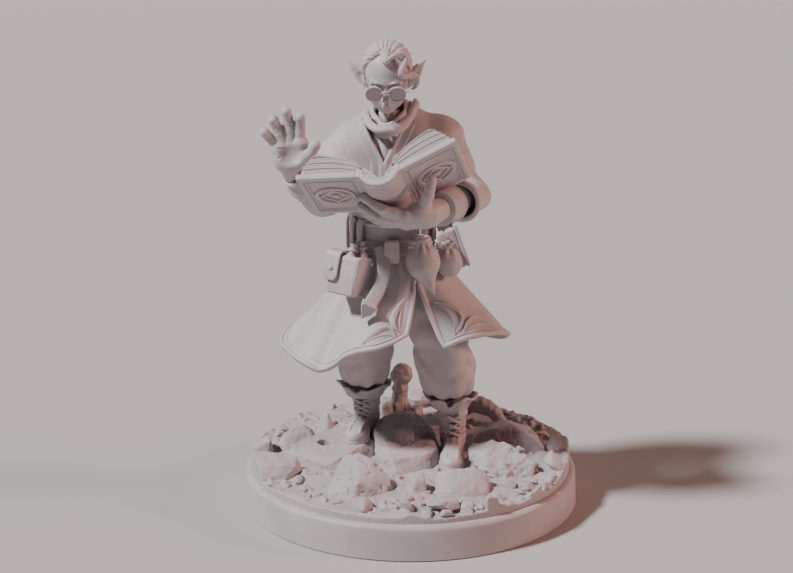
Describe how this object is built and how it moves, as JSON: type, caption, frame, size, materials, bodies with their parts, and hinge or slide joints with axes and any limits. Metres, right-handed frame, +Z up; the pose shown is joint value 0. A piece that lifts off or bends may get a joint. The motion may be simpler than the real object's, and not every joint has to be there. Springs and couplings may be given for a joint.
{
  "type": "tabletop miniature figurine",
  "caption": "Resin printed miniature of a pointed-eared scholar in a long coat, reading an open book, one hand raised, on a round rocky base.",
  "frame": {"origin": "centre of the underside of the round base, where it rests on the table", "axes": "+Z up the figure, -Y the way the figure faces, +X to the viewer's right seen from the front, the figure's own left"},
  "size_m": [0.025, 0.025, 0.0348],
  "materials": {
    "base_resin": "satin grey resin, printed flat, faint layer lines",
    "rock_resin": "matte grey resin with a stone texture",
    "cloth_resin": "matte grey resin, fine woven relief in the folds",
    "skin_resin": "smooth matte grey resin",
    "leather_resin": "matte grey resin with soft creases",
    "hair_resin": "matte grey resin with combed grooves",
    "book_resin": "matte grey resin with fine page lines",
    "fitting_resin": "smooth satin grey resin"
  },
  "bodies": {
    "root": {"base_plinth": "base_resin", "terrain_slab": "rock_resin", "ledge_rock": "rock_resin", "peak_boulder": "rock_resin", "round_boulder": "rock_resin", "split_rock": "rock_resin", "flat_boulder": "rock_resin", "cobble_rock": "rock_resin", "right_boulder": "rock_resin", "left_boulder": "rock_resin", "rim_rocks": "rock_resin", "pebbles": "rock_resin", "rubble_stack": "rock_resin", "root_arch": "rock_resin", "boot_right": "leather_resin", "boot_left": "leather_resin", "boot_cuff_right": "leather_resin", "boot_cuff_left": "leather_resin", "boot_laces": "leather_resin", "trouser_right": "cloth_resin", "trouser_left": "cloth_resin", "hips": "cloth_resin", "coat_skirt": "cloth_resin", "coat_piping": "cloth_resin", "coat_leaf_trim": "cloth_resin", "waist_sash": "cloth_resin", "belt": "leather_resin", "belt_keeper": "fitting_resin", "belt_tail": "leather_resin", "box_pouch": "leather_resin", "box_pouch_flap": "leather_resin", "potion_bottles": "fitting_resin", "drop_pouch": "leather_resin", "round_pouch": "leather_resin", "pouch_ties": "fitting_resin", "hip_satchel": "leather_resin", "torso_shirt": "cloth_resin", "robe_mantle": "cloth_resin", "robe_lapels": "cloth_resin", "scarf": "cloth_resin", "sleeve_right": "cloth_resin", "sleeve_left": "cloth_resin", "undersleeve_left": "cloth_resin", "bracer_left": "leather_resin", "hand_right": "skin_resin", "hand_left": "skin_resin", "head": "skin_resin", "hair": "hair_resin", "hair_lock": "hair_resin", "ears": "skin_resin", "spectacle_frame": "fitting_resin", "spectacle_lenses": "fitting_resin", "book_cover_right": "book_resin", "book_cover_left": "book_resin", "book_spine": "book_resin", "pages_right": "book_resin", "pages_left": "book_resin", "cover_ornaments": "book_resin"}
  },
  "joints": []
}
